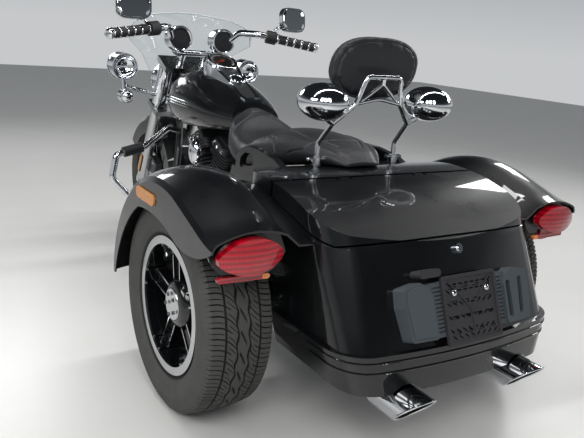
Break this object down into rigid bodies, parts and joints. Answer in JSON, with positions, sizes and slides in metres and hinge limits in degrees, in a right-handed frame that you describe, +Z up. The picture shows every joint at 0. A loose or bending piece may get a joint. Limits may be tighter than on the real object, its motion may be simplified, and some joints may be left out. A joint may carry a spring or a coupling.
{
  "type": "motorized trike",
  "caption": "Black touring motorcycle trike: steered front fork, V-twin engine, two wide car-type rear wheels under bobtail fenders, and a lidded trunk between them.",
  "frame": {"origin": "on the ground, below the middle of the machine's length and width", "axes": "+X forward, +Y to the rider's left, +Z up"},
  "size_m": [2.671, 1.388, 1.2437],
  "materials": {
    "black_frame": "satin",
    "engine_black": "satin",
    "chrome": "mirror polish",
    "black_paint": "high gloss",
    "black_body": "high gloss",
    "black_vinyl": "satin grained",
    "black_plastic": "fine moulded texture",
    "grey_plastic": "fine moulded texture",
    "caliper_alloy": "satin anodised",
    "red_lens": "clear moulded lens",
    "amber_lens": "clear moulded lens",
    "fork_alloy": "polished",
    "clear_screen": "clear",
    "black_rubber": "moulded",
    "tyre_rubber": "matt, treaded",
    "black_wheel": "gloss with machined edges"
  },
  "bodies": {
    "chassis": {"frame": "black_frame", "engine_block": "engine_black", "cylinders": "engine_black", "engine_covers": "chrome", "exhaust_pipes": "chrome", "mufflers": "chrome", "fuel_tank": "black_paint", "tank_console": "chrome", "seat": "black_vinyl", "grab_rails": "black_plastic", "side_covers": "black_paint", "rear_axle": "black_frame", "rear_shocks": "black_frame", "rear_calipers": "caliper_alloy", "body_tub": "black_body", "rear_bumper": "black_body", "fender_left": "black_paint", "fender_right": "black_paint", "tail_lamps": "red_lens", "plate_housing": "grey_plastic", "plate_tray": "black_plastic", "backrest_frame": "chrome", "backrest_pad": "black_vinyl", "engine_guard": "chrome", "foot_rests": "black_rubber", "side_markers": "amber_lens", "trunk_lock": "chrome", "console_insert": "black_plastic"},
    "trunk_lid": {"trunk_lid": "black_body"},
    "steering": {"fork": "fork_alloy", "nacelle": "chrome", "front_fender": "black_paint", "front_lamps": "chrome", "windshield": "clear_screen", "handlebar": "chrome", "hand_controls": "black_rubber", "mirrors": "chrome", "bar_speakers": "chrome", "front_calipers": "caliper_alloy"},
    "front_wheel": {"front_tyre": "tyre_rubber", "front_rim": "black_wheel"},
    "rear_wheel_left": {"rear_tyre_left": "tyre_rubber", "rear_rim_left": "black_wheel"},
    "rear_wheel_right": {"rear_tyre_right": "tyre_rubber", "rear_rim_right": "black_wheel"}
  },
  "joints": [
    {"name": "steering", "type": "hinge", "parent": "chassis", "child": "steering", "pos_m": [0.7185, 0, 0.81489], "axis": [-0.4384, 0, 0.8988], "range_deg": [-30, 30]},
    {"name": "front_wheel_spin", "type": "hinge", "parent": "steering", "child": "front_wheel", "pos_m": [1.0155, 0, 0.32], "axis": [0, 1, 0], "continuous": true},
    {"name": "rear_wheel_left_spin", "type": "hinge", "parent": "chassis", "child": "rear_wheel_left", "pos_m": [-0.6545, 0.553, 0.324], "axis": [0, 1, 0], "continuous": true},
    {"name": "rear_wheel_right_spin", "type": "hinge", "parent": "chassis", "child": "rear_wheel_right", "pos_m": [-0.6545, -0.553, 0.324], "axis": [0, 1, 0], "continuous": true},
    {"name": "trunk_lid_hinge", "type": "hinge", "parent": "chassis", "child": "trunk_lid", "pos_m": [-0.8075, 0, 0.71407], "axis": [0, 1, 0], "range_deg": [0, 52]}
  ]
}
